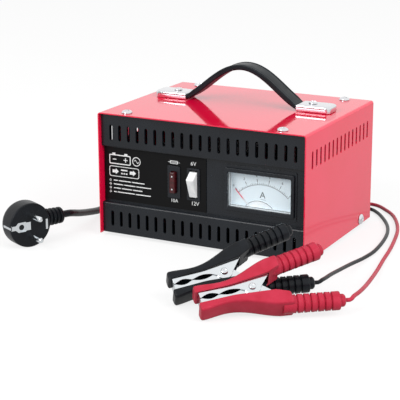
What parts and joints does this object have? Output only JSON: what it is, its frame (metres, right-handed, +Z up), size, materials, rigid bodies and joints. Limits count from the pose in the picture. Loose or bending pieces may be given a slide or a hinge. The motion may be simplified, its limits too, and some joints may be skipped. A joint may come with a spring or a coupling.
{
  "type": "car battery charger",
  "caption": "Boxy mains battery charger: folded steel cover, slotted panels, needle meter, rocker switch, blade fuse, strap handle, coiled cord with plug, and two leads with spring clamps.",
  "frame": {"origin": "centre of the case on the floor it stands on, under the middle of the cover", "axes": "+X to the right seen from the front, +Y towards the back, +Z up; the controls face -Y"},
  "size_m": [0.3386, 0.4293, 0.151],
  "materials": {
    "red_enamel": "glossy baked enamel",
    "steel": "zinc plated sheet and wire",
    "black_plastic": "moulded, fine matt grain",
    "chrome": "bright chrome plate",
    "rubber": "moulded rubber",
    "label_film": "printed film, satin",
    "fuse_red": "translucent moulding",
    "white_plastic": "moulded, satin gloss",
    "clear_plastic": "clear moulded window",
    "dial_card": "printed card",
    "needle_red": "matt paint",
    "core_steel": "stacked laminations",
    "copper": "enamelled copper wire",
    "aluminium": "extruded, plain",
    "black_pvc": "soft PVC",
    "nickel": "bright nickel plate",
    "red_pvc": "soft PVC"
  },
  "bodies": {
    "charger": {"case_cover": "red_enamel", "base_plate": "steel", "meter_movement": "steel", "black_clamp_spring": "steel", "red_clamp_spring": "steel", "front_panel": "black_plastic", "rear_panel": "black_plastic", "fuse_holder": "black_plastic", "switch_housing": "black_plastic", "meter_case": "black_plastic", "meter_bezel": "black_plastic", "rectifier": "black_plastic", "top_screw_1": "chrome", "top_screw_2": "chrome", "top_screw_3": "chrome", "top_screw_4": "chrome", "side_screw_1": "chrome", "side_screw_2": "chrome", "side_screw_3": "chrome", "side_screw_4": "chrome", "handle_cap_left": "chrome", "handle_cap_right": "chrome", "handle_screw_left": "chrome", "handle_screw_right": "chrome", "foot_1": "rubber", "foot_2": "rubber", "foot_3": "rubber", "foot_4": "rubber", "handle_strap": "rubber", "strain_relief": "rubber", "output_grommet": "rubber", "label_plate": "label_film", "meter_window": "clear_plastic", "meter_dial": "dial_card", "transformer_core": "core_steel", "transformer_winding": "copper", "heat_sink": "aluminium", "thermal_cutout": "aluminium", "mains_cord_lead": "black_pvc", "mains_cord_coil": "black_pvc", "mains_cord_end": "black_pvc", "plug_body": "black_pvc", "black_lead": "black_pvc", "black_clamp_lower_cover": "black_pvc", "plug_pin_1": "nickel", "plug_pin_2": "nickel", "plug_earth_clip": "nickel", "black_clamp_lower_jaw": "nickel", "black_clamp_rivet": "nickel", "red_clamp_lower_jaw": "nickel", "red_clamp_rivet": "nickel", "red_lead": "red_pvc", "red_clamp_lower_cover": "red_pvc"},
    "rocker": {"switch_rocker": "white_plastic"},
    "fuse": {"fuse": "fuse_red"},
    "needle": {"meter_needle": "needle_red"},
    "black_upper_jaw": {"black_clamp_upper_jaw": "nickel", "black_clamp_upper_cover": "black_pvc"},
    "red_upper_jaw": {"red_clamp_upper_jaw": "nickel", "red_clamp_upper_cover": "red_pvc"}
  },
  "joints": [
    {"name": "switch_rocker", "type": "hinge", "parent": "charger", "child": "rocker", "pos_m": [-0.0086, -0.0658, 0.0572], "axis": [1, 0, 0], "range_deg": [0, 20]},
    {"name": "fuse_pull", "type": "slide", "parent": "charger", "child": "fuse", "axis": [0, -1, 0], "range_m": [0, 0.022]},
    {"name": "meter_needle", "type": "hinge", "parent": "charger", "child": "needle", "pos_m": [0.0545, -0.0632, 0.0295], "axis": [0, 1, 0], "range_deg": [0, 87], "stiffness_Nm_per_rad": 0.0002, "springref_deg": -17.19},
    {"name": "black_clamp", "type": "hinge", "parent": "charger", "child": "black_upper_jaw", "pos_m": [0.0731, -0.1742, 0.0192], "axis": [-0.3479, 0.5276, -0.7749], "range_deg": [0, 27], "stiffness_Nm_per_rad": 0.8, "springref_deg": -34.38, "deforming": ["black_clamp_spring"]},
    {"name": "red_clamp", "type": "hinge", "parent": "charger", "child": "red_upper_jaw", "pos_m": [0.107, -0.1942, 0.0178], "axis": [-0.2792, 0.4486, -0.849], "range_deg": [0, 27], "stiffness_Nm_per_rad": 0.8, "springref_deg": -34.38, "deforming": ["red_clamp_spring"]}
  ]
}
